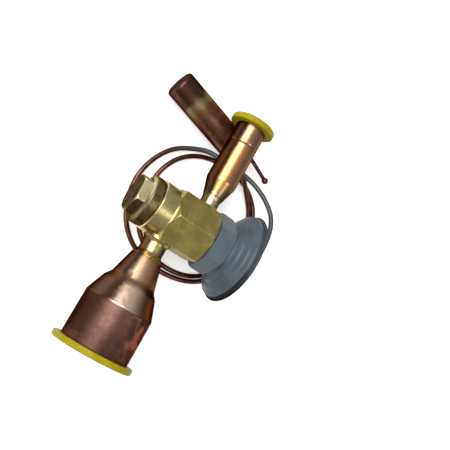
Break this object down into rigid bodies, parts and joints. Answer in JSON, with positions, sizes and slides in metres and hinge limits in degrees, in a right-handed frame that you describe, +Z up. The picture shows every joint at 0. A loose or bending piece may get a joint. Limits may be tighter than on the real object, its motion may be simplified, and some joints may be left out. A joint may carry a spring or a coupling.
{
  "type": "thermostatic expansion valve",
  "caption": "Brass expansion valve with copper solder connectors in yellow dust plugs, a grey power element, and a coiled capillary ending in a sensing bulb.",
  "frame": {"origin": "on the bench under the middle of the bounding box", "axes": "+X towards the outlet connector, +Y along the valve's axis towards the power element, +Z up from the bench that it lies on"},
  "size_m": [0.1302, 0.075, 0.0438],
  "materials": {
    "brass_body": "satin, olive tarnish",
    "brass_cap": "satin, darker tarnish",
    "brass_neck": "bright, brazed",
    "copper": "satin copper",
    "capillary_copper": "dark copper, first part painted grey",
    "bulb_copper": "dark copper with heat tints",
    "gasket_copper": "satin copper",
    "grey_paint": "semi-gloss grey",
    "plug_plastic": "yellow polyethylene",
    "steel": "ground",
    "seal_rubber": "matt"
  },
  "bodies": {
    "valve": {"valve_body": "brass_body", "outlet_nipple": "brass_neck", "outlet_reducer": "copper", "inlet_nipple": "brass_neck", "inlet_tube": "copper", "inlet_strainer": "steel", "stem_gland": "brass_body", "stem_o_ring": "seal_rubber", "superheat_spring": "steel", "valve_seat": "steel", "diaphragm": "steel", "element_gasket": "gasket_copper", "element_collar": "grey_paint", "element_lower_cover": "grey_paint", "element_upper_cover": "grey_paint", "capillary_boss": "grey_paint", "capillary_tube": "capillary_copper", "bulb_shell": "bulb_copper", "bulb_end_plug": "bulb_copper", "fill_tube": "capillary_copper"},
    "outlet_plug": {"outlet_dust_plug": "plug_plastic"},
    "inlet_plug": {"inlet_dust_plug": "plug_plastic"},
    "cap_gasket": {"cap_gasket": "gasket_copper"},
    "seal_cap": {"seal_cap": "brass_cap"},
    "stem": {"adjusting_stem": "steel"},
    "spring_seat": {"spring_seat": "brass_body"},
    "pin_group": {"pin_carrier": "brass_body", "valve_pin": "steel", "push_rod_upper": "steel", "push_rod_lower": "steel", "buffer_plate": "brass_body"}
  },
  "joints": [
    {"name": "outlet_plug_pull", "type": "slide", "parent": "valve", "child": "outlet_plug", "axis": [1, 0, 0], "range_m": [0, 0.05]},
    {"name": "inlet_plug_pull", "type": "slide", "parent": "valve", "child": "inlet_plug", "axis": [-1, 0, 0], "range_m": [0, 0.04]},
    {"name": "cap_travel", "type": "slide", "parent": "valve", "child": "cap_gasket", "axis": [0, -1, 0], "range_m": [0, 0.0076]},
    {"name": "seal_cap_turn", "type": "hinge", "parent": "cap_gasket", "child": "seal_cap", "pos_m": [-0.00197, -0.02342, 0.0219], "axis": [0, -1, 0], "range_deg": [0, 1800]},
    {"name": "stem_turn", "type": "hinge", "parent": "valve", "child": "stem", "pos_m": [-0.00197, -0.02662, 0.0219], "axis": [0, 1, 0], "range_deg": [-181, 901]},
    {"name": "spring_seat_travel", "type": "slide", "parent": "valve", "child": "spring_seat", "axis": [0, 1, 0], "range_m": [-0.0004, 0.002], "deforming": ["superheat_spring"]},
    {"name": "valve_lift", "type": "slide", "parent": "valve", "child": "pin_group", "axis": [0, -1, 0], "range_m": [0, 0.0008], "stiffness_N_per_m": 200, "deforming": ["superheat_spring", "diaphragm"]}
  ],
  "couplings": [
    {"joint": "cap_travel", "follows": "seal_cap_turn", "m_per_rad": 0.00023873},
    {"joint": "stem_turn", "follows": "spring_seat_travel", "rad_per_m": 7854}
  ]
}
